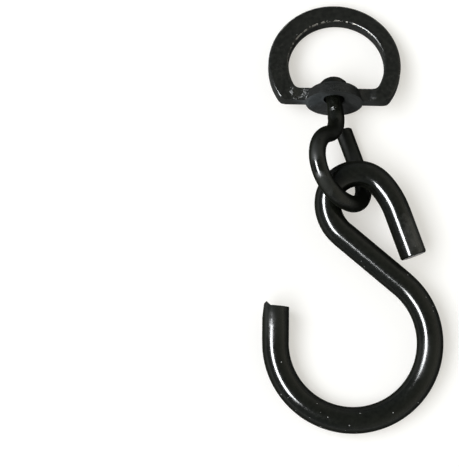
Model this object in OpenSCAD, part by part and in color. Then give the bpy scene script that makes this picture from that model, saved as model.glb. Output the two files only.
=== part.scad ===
// Swivel S hook. A flat ring carries a dished seat across its foot. An eye hook of round wire
// is riveted through the seat, so that it turns freely, and a heavier wire S hook is linked
// through the eye. The three pieces lie on a table as they come to rest. The origin is on the
// table under the middle of the whole length, in line with the middle of the S hook's open
// bend, and +Y runs towards the ring. Millimetres, Z up.

// which piece to build

/* [Ring] */
// outside radius of the ring
ring_outer_r = 12.55; // [11.5:0.05:14]
// width of the ring's flat bar, on average
ring_bar_w = 3.5; // [2.8:0.05:4]
// how far the casting's opening lies to one side, so that one leg is the wider
opening_side = 0.35; // [0:0.05:0.5]
// thickness of the ring's flat bar
ring_bar_t = 2.8; // [2.5:0.1:3.4]
// rounding along the bar's edges
ring_edge_r = 0.55; // [0.3:0.05:0.7]
// from the ring's centre down to its flat foot
ring_foot_drop = 7.5; // [6.8:0.1:8]
// rounding of the foot's two corners
foot_corner_r = 2.6; // [1.5:0.1:3.2]

/* [Cross bar] */
// width of the cross bar, along the hook
cross_bar_w = 2.6; // [2.2:0.05:3]
// rounding where the cross bar meets the inside of the ring
inner_corner_r = 1.2; // [0.8:0.1:1.8]
// thickness left at the waist between the seat and the ring
waist_t = 2.1; // [1.8:0.1:2.3]
// radius of the scoops that thin each waist
scoop_r = 3.5; // [2.5:0.1:4.5]

/* [Seat] */
// radius of the seat's open rim, on the hook's side
seat_rim_r = 5.4; // [5:0.1:6]
// draft of the seat's wall, as a loss of radius towards the ring
seat_draft = 0.4; // [0.2:0.1:0.7]
// height of the seat's wall
seat_h = 2.55; // [2.2:0.05:2.8]
// rise of the seat's face from its edge to the hole
seat_dome = 0.25; // [0.1:0.05:0.5]
// how far the rim stands out past the ring's foot
seat_drop = 0.1; // [0.05:0.05:0.5]
// rounding of the seat's shoulder
seat_round = 0.9; // [0.5:0.1:1.3]
// width of the flat lip of the rim
rim_lip_w = 0.5; // [0.3:0.1:0.8]
// depth of the dish under the seat
dish_depth = 0.8; // [0.4:0.1:1.2]
// width of the flat left round the hole, in the dish
dish_land = 0.5; // [0.2:0.1:0.8]

/* [Pin and head] */
// diameter of the turned pin
pin_d = 2.9; // [2.4:0.1:3.0]
// play all round the pin in its hole
pin_play = 0.6; // [0.2:0.05:0.8]
// gap between the head and the seat
head_gap = 0.3; // [0.25:0.05:0.5]
// overlap of the head over the edge of the hole
head_lap = 0.55; // [0.3:0.05:1]
// height of the peened head
head_h = 2.0; // [1.7:0.1:2.6]
// share of the head's height that is its upright side
head_side = 0.45; // [0.3:0.05:0.6]
// radius of the head's hammered flat
head_flat_r = 1.15; // [0.8:0.05:1.4]
// length of the slow taper from the full wire to the pin
pin_taper_l = 2.4; // [1:0.1:2.8]

/* [Eye hook] */
// diameter of the eye's wire
eye_wire = 3.2; // [3.1:0.05:3.4]
// from the seat's rim to the first bend
eye_shank_l = 3.05; // [2.6:0.05:4.6]
// inside radius of the bend under the pin
eye_neck_in_r = 2.85; // [2.4:0.05:3.4]
// angle of the bend under the pin
eye_neck_a = 68; // [62:1:74]
// inside radius of the eye's shoulder
eye_shoulder_in_r = 4.85; // [4.4:0.05:5.4]
// angle of the eye's shoulder
eye_shoulder_a = 118; // [112:1:124]
// inside radius of the eye's long side
eye_side_in_r = 7.5; // [6.5:0.1:9]
// angle of the eye's long side
eye_side_a = 37; // [32:1:42]
// inside radius of the eye's lower bend
eye_bend_in_r = 4.25; // [3.9:0.05:5]
// angle of the eye's lower bend
eye_bend_a = 108; // [100:0.5:112]
// sideways twist before the lower bend, which takes the tail past the neck
eye_twist_a = 6.5; // [2:0.5:12]
// length of the straight tail
eye_tail_l = 9.6; // [7:0.1:10.2]

/* [S hook] */
// diameter of the S hook's wire
s_wire = 5.0; // [4.4:0.1:5.3]
// straight length at the open end
s_end_l = 6.7; // [4:0.1:9]
// inside radius of the open bend
s_bend_in_r = 11.85; // [10.5:0.05:14]
// angle of the open bend
s_bend_a = 230.5; // [222:0.5:236]
// straight length of the shank
s_shank_l = 14.5; // [12:0.1:18]
// inside radius of the bend from the shank to the link end
s_back_in_r = 5.15; // [4.5:0.05:6.5]
// angle of that bend
s_back_a = 47.5; // [42:0.5:52]
// inside radius of the link end's crown
s_crown_in_r = 3.1; // [2.9:0.05:3.8]
// angle of the crown
s_crown_a = 140; // [134:1:144]
// inside radius of the easing after the crown
s_ease_in_r = 13.8; // [11:0.1:18]
// angle of the easing
s_ease_a = 22.5; // [18:0.5:26]
// length of the straight tail
s_tail_l = 8.8; // [6:0.1:9.2]
// edge broken round the two cut tails and under the head
edge_break = 0.25; // [0.1:0.05:0.5]
// how far the shears cut the open end out of square
shear_a = 4; // [0:0.5:8]
// height of the pointed lip that the shears left on the outer side
shear_lip_h = 0.8; // [0.3:0.05:1.1]
// width of the lip at its root
shear_lip_w = 1.5; // [1:0.1:2]
// length of the flat that the shears rubbed below the lip
shear_flat_l = 2.2; // [1.2:0.1:3]
// depth of that flat at the lip
shear_flat_t = 0.3; // [0.1:0.05:0.5]

/* [At rest] */
// clearance between the two wires where the link is tightest
link_gap = 0.3; // [0.25:0.05:0.6]
// how far round the eye's lower bend the S hook's crown lies
link_a = 31; // [27:1:35]
// turn of the pin and the eye to one side, seen from above
pin_yaw = 5; // [3:0.5:6]
// turn of the ring, which the pin leans in, seen from above
ring_yaw = -0.5; // [-2:0.5:1]

/* [Hidden] */
$fn = 64;
// how much a bend draws the wire thinner, as a share of wire radius over bend radius
bend_draw = 0.04;
// each length of wire runs on by this much into the next, so that they are one solid
run_on = 0.03;
// how far a cutter runs past the face it cuts
cut_past = 1;

// ---- wire radii and centre-line radii
eye_r = eye_wire / 2;
s_r = s_wire / 2;
pin_r = pin_d / 2;
eye_neck_R = eye_neck_in_r + eye_r;
eye_shoulder_R = eye_shoulder_in_r + eye_r;
eye_side_R = eye_side_in_r + eye_r;
eye_bend_R = eye_bend_in_r + eye_r;
s_bend_R = s_bend_in_r + s_r;
s_back_R = s_back_in_r + s_r;
s_crown_R = s_crown_in_r + s_r;
s_ease_R = s_ease_in_r + s_r;
function drawn(r, R) = r * (1 - bend_draw * r / R);

// ---- the ring's own frame: the origin is the middle of the seat's rim, +Y is the ring's top
ring_inner_r = ring_outer_r - ring_bar_w;
ring_cy = seat_drop + ring_foot_drop;
foot_half_w = sqrt(pow(ring_outer_r, 2) - pow(ring_foot_drop, 2));
bar_top_y = seat_drop + cross_bar_w;
inner_foot_x = sqrt(pow(ring_inner_r, 2) - pow(ring_cy - bar_top_y, 2));
seat_top_r = seat_rim_r - seat_draft;
seat_top_y = seat_h + seat_dome;
hole_r = pin_r + pin_play;
head_r = hole_r + head_lap;
head_y = seat_top_y + head_gap;
waist_x = (seat_top_r + inner_foot_x) / 2;

// ---- the ring leans so that the seat's rim and the ring's rounded edge both touch the table
lean_rise = seat_rim_r - ring_bar_t / 2 + ring_edge_r;
lean_run = ring_cy + ring_outer_r - ring_edge_r;
ring_lean = acos(ring_edge_r / norm([lean_rise, lean_run])) - atan2(lean_run, lean_rise);
seat_z = seat_rim_r * cos(ring_lean);

// ---- the eye rolls over, so that the S hook's wire can lie through it
eye_roll = asin((eye_r + s_r + link_gap) / eye_bend_R);

// ---- a planar run of wire, as [x, y, heading], step by step
function ahead(p, l) = [p[0] + l * cos(p[2]), p[1] + l * sin(p[2]), p[2]];
function bent(p, R, a) = [
    p[0] + sign(a) * R * (sin(p[2] + a) - sin(p[2])),
    p[1] - sign(a) * R * (cos(p[2] + a) - cos(p[2])),
    p[2] + a
];

// ---- the point of the eye's lower bend that the crown lies round, in the eye's own plane
eye_low = bent(bent(bent([0, -eye_shank_l, -90], eye_neck_R, -eye_neck_a),
    eye_shoulder_R, eye_shoulder_a), eye_side_R, eye_side_a);
hang = bent(eye_low, eye_bend_R, link_a);
hang_x = hang[0] * cos(eye_roll);
hang_y = hang[1] * cos(ring_lean) - hang[0] * sin(eye_roll) * sin(ring_lean);
hang_z = seat_z - hang[1] * sin(ring_lean) - hang[0] * sin(eye_roll) * cos(ring_lean);

// ---- the middle of the S hook's crown, from the middle of its open bend
s_back = ahead(bent([-s_bend_R, 0, -90], s_bend_R, s_bend_a), s_shank_l);
s_crown = bent(s_back, s_back_R, -s_back_a);
crown_x = s_crown[0] + s_crown_R * sin(s_crown[2]);
crown_y = s_crown[1] - s_crown_R * cos(s_crown[2]);

// ---- the S hook leans: its open bend is on the table and its crown is up at the eye
s_foot_r = drawn(s_r, s_bend_R);
s_lean = asin((hang_z - s_foot_r) / (s_bend_R + crown_y));
s_bend_z = s_bend_R * sin(s_lean) + s_foot_r;

// ---- where the pin enters the seat from the middle of the open bend, seen from above
pin_x = crown_x - hang_x * cos(pin_yaw) + hang_y * sin(pin_yaw);
pin_y = crown_y * cos(s_lean) - hang_x * sin(pin_yaw) - hang_y * cos(pin_yaw);

// ---- the pin leans in its loose hole: it crosses the seat's own axis where the dish meets the hole
cross_l = dish_depth * cos(ring_lean);
seat_x = pin_x - cross_l * (sin(pin_yaw) - sin(ring_yaw));
seat_y = pin_y + cross_l * (cos(pin_yaw) - cos(ring_yaw));

// ---- the whole length is centred on the origin
face_y = sin(ring_lean) * cos(ring_yaw);
far_y = seat_y + ring_cy * cos(ring_lean) * cos(ring_yaw)
    + (ring_outer_r - ring_edge_r) * sqrt(1 - pow(face_y, 2))
    + (ring_bar_t / 2 - ring_edge_r) * face_y + ring_edge_r;
near_y = -s_bend_R * cos(s_lean) - s_foot_r;
mid_y = (far_y + near_y) / 2;

// ---- wire: each piece starts at the origin and heads along +X
// a straight length, plain at its start, with its end cut off square and the edge broken
module wire_end(r, l) {
    rotate([0, 90, 0])
        rotate_extrude()
            polygon([[0, -run_on], [r, -run_on], [r, l - edge_break], [r - edge_break, l], [0, l]]);
}

// a straight length between two bends
module wire_straight(r, l) {
    translate([-run_on, 0, 0])
        rotate([0, 90, 0])
            cylinder(h = l + 2 * run_on, r = r);
}

// a bend of centre-line radius R, to the left for a positive angle
module wire_bend(r, R, a) {
    over = run_on / R * 180 / PI;
    translate([0, sign(a) * R, 0])
        rotate([0, 0, (a > 0 ? -90 : 90 + a) - over])
            rotate_extrude(angle = abs(a) + 2 * over, $fn = 90)
                translate([R, 0])
                    circle(r = drawn(r, R), $fn = 36);
}

// bends, each [straight before it, twist, centre-line radius, angle], and then a cut tail
module wire_run(r, bends, tail_l, i = 0) {
    if (i == len(bends)) {
        wire_end(r, tail_l);
    } else {
        straight_l = bends[i][0];
        R = bends[i][2];
        a = bends[i][3];
        if (straight_l > 0) {
            wire_straight(r, straight_l);
        }
        translate([straight_l, 0, 0])
            rotate([bends[i][1], 0, 0]) {
                wire_bend(r, R, a);
                translate([R * sin(abs(a)), sign(a) * R * (1 - cos(a)), 0])
                    rotate([0, 0, a])
                        wire_run(r, bends, tail_l, i + 1);
            }
    }
}

// ---- the ring, its cross bar and the dished seat are one casting
// a flat bar's section with rounded edges
module bar_section(w, t, r) {
    square([w - 2 * r, t], center = true);
    square([w, t - 2 * r], center = true);
    for (sx = [-1, 1], sy = [-1, 1]) {
        translate([sx * (w / 2 - r), sy * (t / 2 - r)])
            circle(r = r, $fn = 24);
    }
}

// the ring is a disc with a round edge, less an opening whose edges are rounded too
module round_disc() {
    translate([0, ring_cy, 0])
        rotate_extrude($fn = 120)
            intersection() {
                bar_section(2 * ring_outer_r, ring_bar_t, ring_edge_r);
                translate([0, -ring_bar_t])
                    square([2 * ring_outer_r, 2 * ring_bar_t]);
            }
}

module ring_opening() {
    translate([opening_side, ring_cy, 0])
        rotate_extrude($fn = 120)
            difference() {
                translate([0, -ring_bar_t])
                    square([ring_inner_r + ring_edge_r, 2 * ring_bar_t]);
                translate([ring_inner_r + ring_bar_w / 2, 0])
                    bar_section(ring_bar_w, ring_bar_t, ring_edge_r);
            }
}

module cross_bar() {
    translate([-foot_half_w, seat_drop + cross_bar_w / 2, 0])
        rotate([90, 0, 90])
            linear_extrude(2 * foot_half_w)
                bar_section(cross_bar_w, ring_bar_t, ring_edge_r);
}

// a corner between a level line and the ring, outside the round of radius r that ends in it:
// c is the round's middle, and l is how far the wedge reaches from there
function round_middle(y, r, R) = [sqrt(pow(R - r, 2) - pow(ring_cy - y - r, 2)), y + r];

module corner_wedge(c, r, l) {
    out = (c - [0, ring_cy]) / norm(c - [0, ring_cy]);
    difference() {
        polygon([c, c - [0, l], c + l * (out - [0, 1]) / (1 - out[1]), c + l * out]);
        translate(c)
            circle(r = r + run_on, $fn = 48);
    }
}

// the rounds between the cross bar and the inside of the ring
module inner_corners() {
    for (sx = [0, 1]) {
        translate([opening_side, 0, -(ring_bar_t - ring_edge_r) / 2])
            mirror([sx, 0, 0])
                linear_extrude(ring_bar_t - ring_edge_r)
                    corner_wedge(round_middle(bar_top_y, inner_corner_r, ring_inner_r),
                        inner_corner_r, inner_corner_r + ring_edge_r);
    }
}

// the flat foot, with its long edges broken and its two corners rounded
module foot_cuts() {
    translate([-ring_outer_r, seat_drop - ring_outer_r, -ring_bar_t])
        cube([2 * ring_outer_r, ring_outer_r, 2 * ring_bar_t]);
    for (sz = [-1, 1]) {
        translate([0, seat_drop, sz * ring_bar_t / 2])
            rotate([45, 0, 0])
                cube([2 * ring_outer_r, ring_edge_r, ring_edge_r], center = true);
    }
    for (sx = [0, 1]) {
        mirror([sx, 0, 0])
            translate([0, 0, -ring_bar_t])
                linear_extrude(2 * ring_bar_t)
                    corner_wedge(round_middle(seat_drop, foot_corner_r, ring_outer_r),
                        foot_corner_r, 3 * foot_corner_r);
    }
}

module waist_scoops() {
    for (sx = [-1, 1], sz = [-1, 1]) {
        translate([sx * waist_x, seat_drop - cross_bar_w, sz * (waist_t / 2 + scoop_r)])
            rotate([-90, 0, 0])
                cylinder(h = 3 * cross_bar_w, r = scoop_r);
    }
}

module seat_solid() {
    rotate([-90, 0, 0])
        rotate_extrude($fn = 90)
            polygon(concat(
                [[0, 0], [seat_rim_r, 0]],
                [for (a = [0:15:75]) [
                    seat_top_r - seat_round * (1 - cos(a)),
                    seat_h - seat_round * (1 - sin(a))
                ]],
                [[hole_r, seat_top_y], [0, seat_top_y]]
            ));
}

// the dish under the seat and the pin's hole, as one cutter
module seat_hollow() {
    rotate([-90, 0, 0])
        rotate_extrude($fn = 90)
            polygon([
                [0, -cut_past],
                [seat_rim_r - rim_lip_w, -cut_past],
                [seat_rim_r - rim_lip_w, 0],
                [hole_r + dish_land, dish_depth],
                [hole_r, dish_depth],
                [hole_r, seat_top_y + cut_past],
                [0, seat_top_y + cut_past]
            ]);
}

// lays down what is drawn upright round the +Y axis, with its origin at [x, y]
module laid(x, y, yaw, roll = 0) {
    translate([x, y - mid_y, seat_z])
        rotate([0, 0, yaw])
            rotate([-ring_lean, 0, 0])
                rotate([0, roll, 0])
                    children();
}

module swivel_ring() {
    color("dimgray")
        laid(seat_x, seat_y, ring_yaw)
            difference() {
                union() {
                    difference() {
                        union() {
                            difference() {
                                round_disc();
                                ring_opening();
                            }
                            cross_bar();
                            inner_corners();
                        }
                        foot_cuts();
                        waist_scoops();
                    }
                    seat_solid();
                }
                seat_hollow();
            }
}

// ---- the eye hook: a peened head and a turned pin, then the bent wire of the eye
module head_and_pin() {
    rotate([-90, 0, 0])
        rotate_extrude()
            polygon([
                [0, -eye_shank_l - run_on],
                [eye_r, -eye_shank_l - run_on],
                [eye_r, -eye_shank_l],
                [pin_r, -eye_shank_l + pin_taper_l],
                [pin_r, head_y],
                [head_r - edge_break, head_y],
                [head_r, head_y + edge_break],
                [head_r, head_y + head_side * head_h],
                [head_r - (head_r - head_flat_r) * head_side, head_y + (1 - head_side / 2) * head_h],
                [head_flat_r, head_y + head_h],
                [0, head_y + head_h]
            ]);
}

module eye_hook() {
    color("gray")
        laid(pin_x, pin_y, pin_yaw, eye_roll) {
            head_and_pin();
            translate([0, -eye_shank_l, 0])
                rotate([0, 0, -90])
                    wire_run(eye_r, [
                        [0, 0, eye_neck_R, -eye_neck_a],
                        [0, 0, eye_shoulder_R, eye_shoulder_a],
                        [0, 0, eye_side_R, eye_side_a],
                        [0, -eye_twist_a, eye_bend_R, eye_bend_a]
                    ], eye_tail_l);
        }
}

// ---- the S hook: an open bend for the load, a shank, and a nearly closed link end
// the open end is sheared a little out of square, with a pointed lip on its outer side and a
// flat that the shears rubbed along the wire below it; +X is out of the end, +Y the outer side
module sheared_end() {
    root_y = s_r - shear_lip_w;
    difference() {
        wire_straight(s_r, s_end_l + shear_lip_h);
        translate([s_end_l, 0, -s_wire])
            linear_extrude(2 * s_wire)
                polygon([
                    [-s_wire * tan(shear_a), -s_wire],
                    [root_y * tan(shear_a), root_y],
                    [shear_lip_h, s_r - shear_lip_w / 2],
                    [shear_lip_h / 2, s_r - shear_flat_t],
                    [-2 * shear_flat_l - shear_lip_h / 2, s_r + shear_flat_t],
                    [s_wire, s_r + shear_flat_t],
                    [s_wire, -s_wire]
                ]);
    }
}

module s_hook() {
    color("silver")
        translate([0, -mid_y, s_bend_z])
            rotate([s_lean, 0, 0])
                translate([-s_bend_R, 0, 0])
                    rotate([0, 0, -90]) {
                        rotate([0, 0, 180])
                            sheared_end();
                        wire_run(s_r, [
                            [0, 0, s_bend_R, s_bend_a],
                            [s_shank_l, 0, s_back_R, -s_back_a],
                            [0, 0, s_crown_R, -s_crown_a],
                            [0, 0, s_ease_R, -s_ease_a]
                        ], s_tail_l);
                    }
}

swivel_ring();
eye_hook();
s_hook();
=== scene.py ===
"""A swivel S hook of black coated wire, lying on a white table under the light of one window.

All lengths and places are in metres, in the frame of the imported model. Colours are in linear light.
"""
import math
from collections import namedtuple

import bpy
from mathutils import Matrix, Vector

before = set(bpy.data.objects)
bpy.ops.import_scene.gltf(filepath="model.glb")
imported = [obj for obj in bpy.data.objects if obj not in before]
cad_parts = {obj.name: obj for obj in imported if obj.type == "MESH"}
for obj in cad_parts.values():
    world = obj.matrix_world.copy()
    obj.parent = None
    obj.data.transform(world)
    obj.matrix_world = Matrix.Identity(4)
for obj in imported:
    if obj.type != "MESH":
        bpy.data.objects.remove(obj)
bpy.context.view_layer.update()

# ---- the view: almost straight down, from a long way off for so small a thing
VIEW_AZIMUTH = 0.6
VIEW_ELEVATION = 78.6
VIEW_DISTANCE = 0.480
VIEW_CENTRE = (-0.0231, -0.003037, 0.0)
LENS = 199.5
SENSOR = 36.0
NEAREST, FARTHEST = 0.01, 20.0

# ---- the table
FLOOR_HALF = 3.0
FLOOR_WHITE = (0.57, 0.57, 0.57, 1.0)
FLOOR_ROUGHNESS = 0.9
FLOOR_GLOW = (0.487, 0.470, 0.440, 1.0)
GLOSS_SHARE = 0.1
NO_GLOW = (0.0, 0.0, 0.0, 1.0)

# ---- the room: cool on the window's side and warm on the other, and darkest overhead
WHITE = (1.0, 1.0, 1.0, 1.0)
ROOM_COOL = (0.72, 0.80, 0.88, 1.0)
ROOM_WARM = (2.10, 2.06, 1.80, 1.0)
COOL_UNTIL, WARM_FROM = -0.2, 0.8
LOW_GLOW, HIGH_GLOW, HIGH_FROM = 0.30, 0.12, 0.9
ROOM_FILL = 0.15

# ---- the window
WINDOW_AWAY = 2.0
WINDOW_TINT = (0.96, 0.98, 1.0)

# ---- colours of the coat, its marks, painted reflections on the ring's seat and the link end's flank, and the metal under it
COAT_DARK = (0.0038, 0.0044, 0.0027, 1.0)
COAT_LIGHT = (0.0078, 0.0088, 0.0058, 1.0)
RING_DARK = (0.0056, 0.0060, 0.0046, 1.0)
RING_LIGHT = (0.0150, 0.0155, 0.0125, 1.0)
SEAT_CROWN = (0.0105, 0.0115, 0.0105, 1.0)
# painted reflection: the seat's front face is made lighter where it faces and mirrors the white table
SEAT_PAINTED_REFLECTION = (0.0230, 0.0245, 0.0235, 1.0)
# painted reflection: lighter still on the left of the seat's front, where the dish's curve catches more light
SEAT_LEFT_PAINTED_REFLECTION = (0.062, 0.070, 0.073, 1.0)
RUBBED = (0.011, 0.012, 0.010, 1.0)
# painted sheen: the link end's right flank is lightened to stand for a broad soft reflection
FLANK_PAINTED_SHEEN = (0.040, 0.040, 0.036, 1.0)
DUST = (0.34, 0.34, 0.33, 1.0)
BARE_ZINC = (0.20, 0.19, 0.17, 1.0)
BARE_STEEL = (0.42, 0.41, 0.40, 1.0)

# ---- gloss: a face is glossy, and a flank that turns away from the eye is satin and loses its shine
COAT_IOR = 1.5
WIRE_ROUGHNESS, RING_ROUGHNESS, FLANK_ROUGHNESS = 0.12, 0.17, 0.9
WIRE_FLANK_BLACK, RING_FLANK_BLACK = 0.95, 0.65
FACING_BLEND = 0.3
SATIN_FROM, SATIN_TO = 0.12, 0.42
BLACK_FROM, BLACK_TO = 0.10, 0.30
MOTTLE_ROUGHNESS = 0.05

# ---- a spot that handling has dulled loses its shine too, once it has gained this much roughness
MATT_FROM, MATT_TO, MATT_BLACK = 0.30, 0.62, 0.6

# ---- bare metal: how metallic it is, what it adds to the roughness, and how square on a cut face is
BARE_METALLIC = 0.6
BARE_ROUGHNESS = 0.25
CUT_COSINE = 0.97

# ---- surface: cells of dust in a metre, how much of a cell a nib fills, its height, and the bump
NIB_CELLS = 1500.0
NIB_SIZE = 0.17
NIB_HEIGHT = 2.0
BUMP_STRENGTH = 0.5
BUMP_DEPTH = 0.00002

# ---- how broken the rim of a patch is, and how squarely a face looks along the patch's own way
RAGGED, WORN_RAGGED, CUT_RAGGED = 0.9, 0.5, 0.1
SAME_WAY_COSINE = 0.75

# ---- keeps the runs of a worn edge apart from the coat's own grain
WORN_SEED = 3.0

Patch = namedtuple("Patch", "place reach shade gained dents crumple way", defaults=(0.0, 300.0, 0.0, None))
WornEdge = namedtuple("WornEdge", "face low high broken place reach")
CutEnd = namedtuple("CutEnd", "place way reach")
Dusty = namedtuple("Dusty", "place reach")
Droop = namedtuple("Droop", "left_of start rate")

# ---- marks on the ring: its domed seat, painted reflections on the seat's front, a lump beside it, and the edge worn inside its bow
SEAT = (-0.0036, 0.0225, 0.0050)
SEAT_FRONT = (0.0, -0.98, 0.199)
RING_PATCHES = [
    Patch(SEAT, 0.0075, SEAT_CROWN, dents=380.0, crumple=26.0),
    # painted reflections of the table on the seat's front face, lighter on its left
    Patch(SEAT, 0.0100, SEAT_PAINTED_REFLECTION, way=SEAT_FRONT),
    Patch((-0.0072, 0.0206, 0.0065), 0.0040, SEAT_LEFT_PAINTED_REFLECTION, way=SEAT_FRONT),
    Patch((-0.0104, 0.0233, 0.0064), 0.0015, RING_LIGHT, crumple=56.0),
]
RING_WORN = WornEdge(
    face=(0.0, 0.199, 0.980), low=0.55, high=0.9, broken=0.53, place=(-0.0045, 0.0370, 0.0015), reach=0.0125
)

# ---- marks on the eye: a lump on the neck, spots dulled by handling, and the end of its tail
EYE_PATCHES = [
    Patch((-0.0042, 0.0206, 0.0064), 0.0013, COAT_LIGHT, crumple=42.0),
    Patch((-0.0077, 0.0100, 0.0141), 0.0026, COAT_LIGHT, gained=0.30),
    Patch((-0.0062, 0.0033, 0.0136), 0.0028, COAT_LIGHT, gained=0.62),
    Patch((-0.0016, 0.0125, 0.0025), 0.0055, COAT_LIGHT, gained=0.45),
]
EYE_END = CutEnd(place=(-0.00172, 0.01675, 0.00161), way=(-0.33, 0.94, -0.07), reach=0.003)

# ---- marks on the S hook: its shorn end, a painted sheen on the right flank of its link end, two dulled spots, the sawn link end,
# ---- dust about its open bend, and the lean of its open arm
HOOK_PATCHES = [
    Patch((-0.0148, -0.0185, 0.0055), 0.0038, RUBBED, gained=0.08, dents=1500.0, crumple=5.0),
    # painted sheen: a lighter right flank on the link end, standing for a broad soft reflection
    Patch((0.0150, -0.0035, 0.0078), 0.0068, FLANK_PAINTED_SHEEN),
    Patch((-0.0151, -0.0212, 0.0065), 0.0040, COAT_LIGHT, gained=0.09),
    Patch((0.0137, -0.0275, 0.0060), 0.0050, COAT_LIGHT, gained=0.08),
]
HOOK_END = CutEnd(place=(0.01128, -0.00809, 0.00537), way=(0.35, -0.93, -0.09), reach=0.005)
HOOK_DUSTY = Dusty(place=(0.0, -0.0260, 0.0030), reach=0.026)
HOOK_DROOP = Droop(left_of=-0.010, start=-0.0225, rate=4.7e6)

# ---- how nodes are set out in the node editor
NODES_IN_ROW, NODE_WIDE, NODE_TALL = 8, 240, 320


# ---- small helpers for node trees
def node(tree, kind, **values):
    """A new node. Each value goes to the property of that name, or else to the input."""
    row, column = divmod(len(tree.nodes), NODES_IN_ROW)
    made = tree.nodes.new(kind)
    made.location = (column * NODE_WIDE, -row * NODE_TALL)
    for name, value in values.items():
        if name in made.bl_rna.properties:
            setattr(made, name, value)
        else:
            made.inputs[name].default_value = value
    return made


def feed(tree, value, target):
    """Gives an input a plain value, or links a socket to it."""
    if isinstance(value, bpy.types.NodeSocket):
        tree.links.new(value, target)
    else:
        target.default_value = value


def group(name, inputs, outputs):
    """A shader node group with named sockets; inputs and outputs are (name, kind, start value)."""
    tree = bpy.data.node_groups.new(name, "ShaderNodeTree")
    for side, rows in (("INPUT", inputs), ("OUTPUT", outputs)):
        for label, kind, start in rows:
            socket = tree.interface.new_socket(name=label, in_out=side, socket_type="NodeSocket" + kind)
            if start is not None:
                socket.default_value = start
    return tree, node(tree, "NodeGroupInput").outputs, node(tree, "NodeGroupOutput").inputs


def placed(tree, made, where, **values):
    """Places a node group in a material, with its own values, and gives its outputs."""
    box = node(tree, "ShaderNodeGroup", node_tree=made)
    feed(tree, where, box.inputs["Vector"])
    for name, value in values.items():
        feed(tree, value, box.inputs[name])
    return box.outputs


def spread(tree, source, low, high, to_low, to_high):
    """A Map Range node from low..high to to_low..to_high."""
    made = node(tree, "ShaderNodeMapRange")
    for target, value in zip(made.inputs, (source, low, high, to_low, to_high)):
        feed(tree, value, target)
    return made.outputs[0]


def maths(tree, how, a, b):
    made = node(tree, "ShaderNodeMath", operation=how)
    for target, value in zip(made.inputs, (a, b)):
        feed(tree, value, target)
    return made.outputs[0]


def blended(tree, factor, a, b):
    """A colour mix, from a to b by the factor."""
    made = node(tree, "ShaderNodeMix", data_type="RGBA")
    for i, value in ((0, factor), (6, a), (7, b)):
        feed(tree, value, made.inputs[i])
    return made.outputs[2]


def noise(tree, where, seed=None, **values):
    made = node(tree, "ShaderNodeTexNoise", noise_dimensions="3D" if seed is None else "4D", **values)
    feed(tree, where, made.inputs["Vector"])
    if seed is not None:
        feed(tree, seed, made.inputs["W"])
    return made.outputs["Fac"]


def cosine(tree, normal, way):
    """How squarely the surface looks along a way."""
    made = node(tree, "ShaderNodeVectorMath", operation="DOT_PRODUCT")
    feed(tree, normal, made.inputs[0])
    feed(tree, way, made.inputs[1])
    return made.outputs["Value"]


# ---- effects that the three coats share
def coat_grain():
    """The dip coat's slight orange peel, and its uneven depth."""
    tree, into, out = group(
        "coat grain",
        [("Vector", "Vector", None), ("Seed", "Float", 0.0), ("Peel", "Float", 1.0)],
        [("Height", "Float", None), ("Mottle", "Float", None)],
    )
    where, seed = into["Vector"], into["Seed"]
    peel = noise(tree, where, seed, Scale=3400.0, Detail=2.0)
    ripple = noise(tree, where, seed, Scale=380.0, Detail=1.0)
    cloud = noise(tree, where, seed, Scale=1500.0, Detail=5.0)
    peel_share = 0.35
    both = maths(tree, "ADD", maths(tree, "MULTIPLY", peel, peel_share), ripple)
    feed(tree, maths(tree, "MULTIPLY", both, into["Peel"]), out["Height"])
    thin, thick = 0.35, 0.65
    feed(tree, spread(tree, cloud, thin, thick, 0.0, 1.0), out["Mottle"])
    return tree


def specks():
    """Dust nibs caught in the coat: a few small raised dots, one in so many cells, and only in drifts."""
    tree, into, out = group(
        "specks",
        [("Vector", "Vector", None), ("Scale", "Float", 1000.0), ("Size", "Float", 0.2), ("Share", "Float", 0.1)],
        [("Mask", "Float", None)],
    )
    cells = node(tree, "ShaderNodeTexVoronoi", feature="F1", Randomness=1.0)
    feed(tree, into["Vector"], cells.inputs["Vector"])
    feed(tree, into["Scale"], cells.inputs["Scale"])
    near = maths(tree, "LESS_THAN", cells.outputs["Distance"], into["Size"])
    draw = node(tree, "ShaderNodeSeparateColor")
    feed(tree, cells.outputs["Color"], draw.inputs[0])
    drawn = maths(tree, "LESS_THAN", draw.outputs[0], into["Share"])
    drift_from = 0.52
    here = maths(tree, "GREATER_THAN", noise(tree, into["Vector"], Scale=160.0, Detail=1.0), drift_from)
    few = maths(tree, "MULTIPLY", near, drawn)
    feed(tree, maths(tree, "MULTIPLY", few, here), out["Mask"])
    return tree


def edge_wear():
    """Where the coat is knocked off a rounded edge, in broken runs. The edge is where the surface turns
    away from a flat face, between the cosines Low and High."""
    tree, into, out = group(
        "edge wear",
        [
            ("Vector", "Vector", None), ("Normal", "Vector", None), ("Face", "Vector", None), ("Low", "Float", 0.4),
            ("High", "Float", 0.9), ("Broken", "Float", 0.5), ("Seed", "Float", 0.0),
        ],
        [("Mask", "Float", None)],
    )
    square_on = cosine(tree, into["Normal"], into["Face"])
    over = maths(tree, "GREATER_THAN", square_on, into["Low"])
    under = maths(tree, "LESS_THAN", square_on, into["High"])
    edge = maths(tree, "MULTIPLY", over, under)
    runs = noise(tree, into["Vector"], into["Seed"], Scale=1100.0, Detail=4.0, Roughness=0.75)
    kept = maths(tree, "GREATER_THAN", runs, into["Broken"])
    feed(tree, maths(tree, "MULTIPLY", edge, kept), out["Mask"])
    return tree


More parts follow.
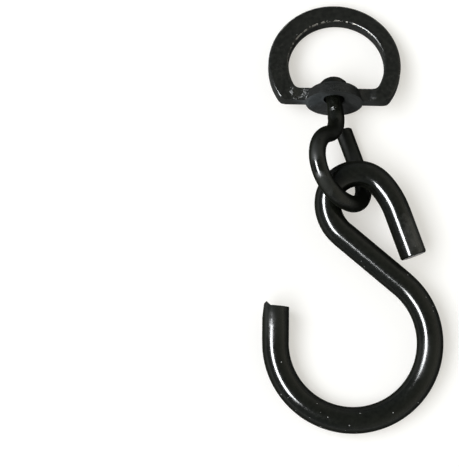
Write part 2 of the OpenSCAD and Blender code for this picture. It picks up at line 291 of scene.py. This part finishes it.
def near_place():
    """A soft round patch about one place, its rim broken up by the grain of the surface."""
    tree, into, out = group(
        "near place",
        [("Vector", "Vector", None), ("Place", "Vector", None), ("Reach", "Float", 0.002), ("Ragged", "Float", 0.5)],
        [("Mask", "Float", None)],
    )
    away = node(tree, "ShaderNodeVectorMath", operation="DISTANCE")
    feed(tree, into["Vector"], away.inputs[0])
    feed(tree, into["Place"], away.inputs[1])
    share = maths(tree, "DIVIDE", away.outputs["Value"], into["Reach"])
    grain = noise(tree, into["Vector"], Scale=900.0, Detail=4.0, Roughness=0.65)
    middle = 0.5
    torn = maths(tree, "MULTIPLY", maths(tree, "SUBTRACT", grain, middle), into["Ragged"])
    full_within = 0.55
    feed(tree, spread(tree, maths(tree, "ADD", share, torn), full_within, 1.0, 1.0, 0.0), out["Mask"])
    return tree


GRAIN, SPECKS, EDGE_WEAR, NEAR_PLACE = coat_grain(), specks(), edge_wear(), near_place()


# ---- the coats
def near(tree, where, place, reach, ragged=RAGGED):
    """The mask of a soft round patch."""
    return placed(tree, NEAR_PLACE, where, Place=place, Reach=reach, Ragged=ragged)["Mask"]


def knocked_off(tree, where, normal, seed, worn):
    """The mask of an edge where the coat has gone."""
    edge = placed(
        tree, EDGE_WEAR, where, Normal=normal, Seed=seed,
        Face=worn.face, Low=worn.low, High=worn.high, Broken=worn.broken,
    )["Mask"]
    return maths(tree, "MULTIPLY", edge, near(tree, where, worn.place, worn.reach, WORN_RAGGED))


def cut_face(tree, where, normal, end):
    """The mask of a wire's cut end, where the metal shows."""
    flat = maths(tree, "GREATER_THAN", cosine(tree, normal, end.way), CUT_COSINE)
    return maths(tree, "MULTIPLY", flat, near(tree, where, end.place, end.reach, CUT_RAGGED))


def droop_height(tree, where, droop):
    """How far an arm's surface leans away past a start, more and more, so that the light slides off it."""
    parts = node(tree, "ShaderNodeSeparateXYZ")
    feed(tree, where, parts.inputs[0])
    limb = maths(tree, "LESS_THAN", parts.outputs["X"], droop.left_of)
    past = maths(tree, "MAXIMUM", maths(tree, "SUBTRACT", parts.outputs["Y"], droop.start), 0.0)
    fall = maths(tree, "MULTIPLY", maths(tree, "POWER", past, 2.0), droop.rate)
    return maths(tree, "MULTIPLY", fall, limb)


def coat(name, seed, roughness, peel, dust, bare, patches, shades=(COAT_DARK, COAT_LIGHT),
         flank_black=WIRE_FLANK_BLACK, worn=None, end=None, dusty=None, droop=None):
    """A gloss black dip coat.

    Each patch changes the colour about a place, and may add roughness (gained) and dents (crumple, at
    the scale dents); with a way, it keeps to the faces that look that way. The metal shows, in the
    colour bare, on a worn edge or a cut end. Dust nibs keep to the dusty place, if there is one.
    """
    mat = bpy.data.materials.new(name)
    mat.use_nodes = True
    tree = mat.node_tree
    shader = tree.nodes["Principled BSDF"]
    shader.inputs["IOR"].default_value = COAT_IOR
    spot = node(tree, "ShaderNodeTexCoord")
    where, normal = spot.outputs["Object"], spot.outputs["Normal"]

    grain = placed(tree, GRAIN, where, Seed=seed, Peel=peel)
    colour = blended(tree, grain["Mottle"], *shades)
    gained = spread(tree, grain["Mottle"], 0.0, 1.0, 0.0, MOTTLE_ROUGHNESS)
    height = grain["Height"]
    for patch in patches:
        mask = near(tree, where, patch.place, patch.reach)
        if patch.way is not None:
            same_way = maths(tree, "GREATER_THAN", cosine(tree, normal, patch.way), SAME_WAY_COSINE)
            mask = maths(tree, "MULTIPLY", mask, same_way)
        colour = blended(tree, mask, colour, patch.shade)
        if patch.gained:
            gained = maths(tree, "ADD", gained, maths(tree, "MULTIPLY", mask, patch.gained))
        if patch.crumple:
            dents = noise(tree, where, Scale=patch.dents, Detail=0.5)
            deep = maths(tree, "MULTIPLY", dents, patch.crumple)
            height = maths(tree, "ADD", height, maths(tree, "MULTIPLY", mask, deep))
    if droop is not None:
        height = maths(tree, "SUBTRACT", height, droop_height(tree, where, droop))

    nibs = placed(tree, SPECKS, where, Scale=NIB_CELLS, Size=NIB_SIZE, Share=dust)["Mask"]
    if dusty is not None:
        nibs = maths(tree, "MULTIPLY", nibs, near(tree, where, dusty.place, dusty.reach))
    colour = blended(tree, nibs, colour, DUST)

    metal = 0.0
    if worn is not None:
        metal = knocked_off(tree, where, normal, seed + WORN_SEED, worn)
    if end is not None:
        metal = cut_face(tree, where, normal, end)
    feed(tree, blended(tree, metal, colour, bare), shader.inputs["Base Color"])

    facing = node(tree, "ShaderNodeLayerWeight", Blend=FACING_BLEND).outputs["Facing"]
    flank = spread(tree, facing, BLACK_FROM, BLACK_TO, 0.0, flank_black)
    matt = spread(tree, gained, MATT_FROM, MATT_TO, 0.0, MATT_BLACK)
    black = maths(tree, "MAXIMUM", flank, matt)
    shine = maths(tree, "MULTIPLY", metal, BARE_METALLIC)
    feed(tree, maths(tree, "MAXIMUM", shine, black), shader.inputs["Metallic"])

    sheen = spread(tree, facing, SATIN_FROM, SATIN_TO, roughness, FLANK_ROUGHNESS)
    rough = maths(tree, "ADD", sheen, gained)
    rough = maths(tree, "ADD", rough, maths(tree, "MULTIPLY", metal, BARE_ROUGHNESS))
    feed(tree, rough, shader.inputs["Roughness"])

    height = maths(tree, "ADD", height, maths(tree, "MULTIPLY", nibs, NIB_HEIGHT))
    height = maths(tree, "SUBTRACT", height, metal)
    bump = node(tree, "ShaderNodeBump", Strength=BUMP_STRENGTH, Distance=BUMP_DEPTH)
    feed(tree, height, bump.inputs["Height"])
    feed(tree, bump.outputs["Normal"], shader.inputs["Normal"])
    return mat


def dress(node_name, mat):
    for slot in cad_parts[node_name].material_slots:
        slot.material = mat


# ---- surroundings
def added(name, data):
    """A new object in the scene."""
    made = bpy.data.objects.new(name, data)
    bpy.context.scene.collection.objects.link(made)
    return made


def camera():
    data = bpy.data.cameras.new("view")
    data.sensor_fit = "HORIZONTAL"
    data.sensor_width = SENSOR
    data.lens = LENS
    data.clip_start = NEAREST
    data.clip_end = FARTHEST
    made = added("view", data)
    a, e = math.radians(VIEW_AZIMUTH), math.radians(VIEW_ELEVATION)
    out = Vector((math.sin(a) * math.cos(e), -math.cos(a) * math.cos(e), math.sin(e)))
    made.location = Vector(VIEW_CENTRE) + out * VIEW_DISTANCE
    made.rotation_euler = (-out).to_track_quat("-Z", "Y").to_euler()
    bpy.context.scene.camera = made


def surroundings():
    """A dim room, darkest overhead, cooler toward the window side and warmer away from it, and plain
    white beyond the table."""
    world = bpy.data.worlds.new("room")
    bpy.context.scene.world = world
    world.use_nodes = True
    tree = world.node_tree
    tree.nodes.clear()
    out = node(tree, "ShaderNodeOutputWorld")
    mix = node(tree, "ShaderNodeMixShader")
    room = node(tree, "ShaderNodeBackground")
    white = node(tree, "ShaderNodeBackground", Color=WHITE, Strength=1.0)
    path = node(tree, "ShaderNodeLightPath").outputs
    parts = node(tree, "ShaderNodeSeparateXYZ")
    feed(tree, node(tree, "ShaderNodeTexCoord").outputs["Generated"], parts.inputs[0])
    side = spread(tree, parts.outputs["X"], COOL_UNTIL, WARM_FROM, 0.0, 1.0)
    lit = spread(tree, parts.outputs["Z"], 0.0, HIGH_FROM, LOW_GLOW, HIGH_GLOW)
    fill = maths(tree, "MULTIPLY", path["Is Diffuse Ray"], ROOM_FILL)
    feed(tree, maths(tree, "ADD", lit, fill), room.inputs["Strength"])
    feed(tree, blended(tree, side, ROOM_COOL, ROOM_WARM), room.inputs["Color"])
    feed(tree, path["Is Camera Ray"], mix.inputs[0])
    feed(tree, room.outputs[0], mix.inputs[1])
    feed(tree, white.outputs[0], mix.inputs[2])
    feed(tree, mix.outputs[0], out.inputs[0])


def floor():
    """A white table top. What the eye and the gloss see of it glows a little, so that it stays white
    and keeps its shadows."""
    h = FLOOR_HALF
    mesh = bpy.data.meshes.new("table")
    mesh.from_pydata([(-h, -h, 0), (h, -h, 0), (h, h, 0), (-h, h, 0)], [], [(0, 1, 2, 3)])
    made = added("table", mesh)
    mat = bpy.data.materials.new("white table")
    mat.use_nodes = True
    tree = mat.node_tree
    shader = tree.nodes["Principled BSDF"]
    shader.inputs["Base Color"].default_value = FLOOR_WHITE
    shader.inputs["Roughness"].default_value = FLOOR_ROUGHNESS
    shader.inputs["Specular IOR Level"].default_value = 0.0
    shader.inputs["Emission Strength"].default_value = 1.0
    path = node(tree, "ShaderNodeLightPath").outputs
    gloss = maths(tree, "MULTIPLY", path["Is Glossy Ray"], GLOSS_SHARE)
    seen = maths(tree, "MAXIMUM", path["Is Camera Ray"], gloss)
    seen = maths(tree, "MAXIMUM", seen, path["Is Transmission Ray"])
    feed(tree, blended(tree, seen, NO_GLOW, FLOOR_GLOW), shader.inputs["Emission Color"])
    mesh.materials.append(mat)


def window(name, azimuth, zenith, wide, tall, glow, lights=True, glints=True):
    """A soft pane facing the object: azimuth turns from -X toward -Y, zenith is from straight up, and
    wide and tall are the angles it covers. It lights the table, or shows in the gloss, or both."""
    a, z = math.radians(azimuth), math.radians(zenith)
    out = Vector((-math.cos(a) * math.sin(z), -math.sin(a) * math.sin(z), math.cos(z)))
    across = 2 * WINDOW_AWAY * math.tan(math.radians(wide) / 2)
    high = 2 * WINDOW_AWAY * math.tan(math.radians(tall) / 2)
    data = bpy.data.lights.new(name, "AREA")
    data.shape = "RECTANGLE"
    data.size, data.size_y = across, high
    data.energy = glow * math.pi * across * high
    data.color = WINDOW_TINT
    made = added(name, data)
    side = Vector((math.sin(a), -math.cos(a), 0))
    made.location = out * WINDOW_AWAY
    made.rotation_euler = Matrix((side, out.cross(side), out)).transposed().to_euler()
    made.visible_camera = False
    made.visible_diffuse = lights
    made.visible_glossy = glints


bpy.context.scene.view_settings.view_transform = "Standard"
camera()
surroundings()
floor()
window("window light", azimuth=17, zenith=31, wide=60, tall=30, glow=5.3, glints=False)
window("window panes", azimuth=13, zenith=36.5, wide=44, tall=17, glow=42.0, lights=False)

dress("swivel_ring", coat(
    "ring coat", seed=1.0, roughness=RING_ROUGHNESS, peel=1.0, dust=0.02, bare=BARE_ZINC,
    shades=(RING_DARK, RING_LIGHT), flank_black=RING_FLANK_BLACK, patches=RING_PATCHES, worn=RING_WORN,
))
dress("eye_hook", coat(
    "eye coat", seed=2.0, roughness=WIRE_ROUGHNESS, peel=0.5, dust=0.05, bare=BARE_STEEL,
    patches=EYE_PATCHES, end=EYE_END,
))
dress("s_hook", coat(
    "hook coat", seed=3.0, roughness=WIRE_ROUGHNESS, peel=0.5, dust=0.16, bare=BARE_STEEL,
    patches=HOOK_PATCHES, end=HOOK_END, dusty=HOOK_DUSTY, droop=HOOK_DROOP,
))
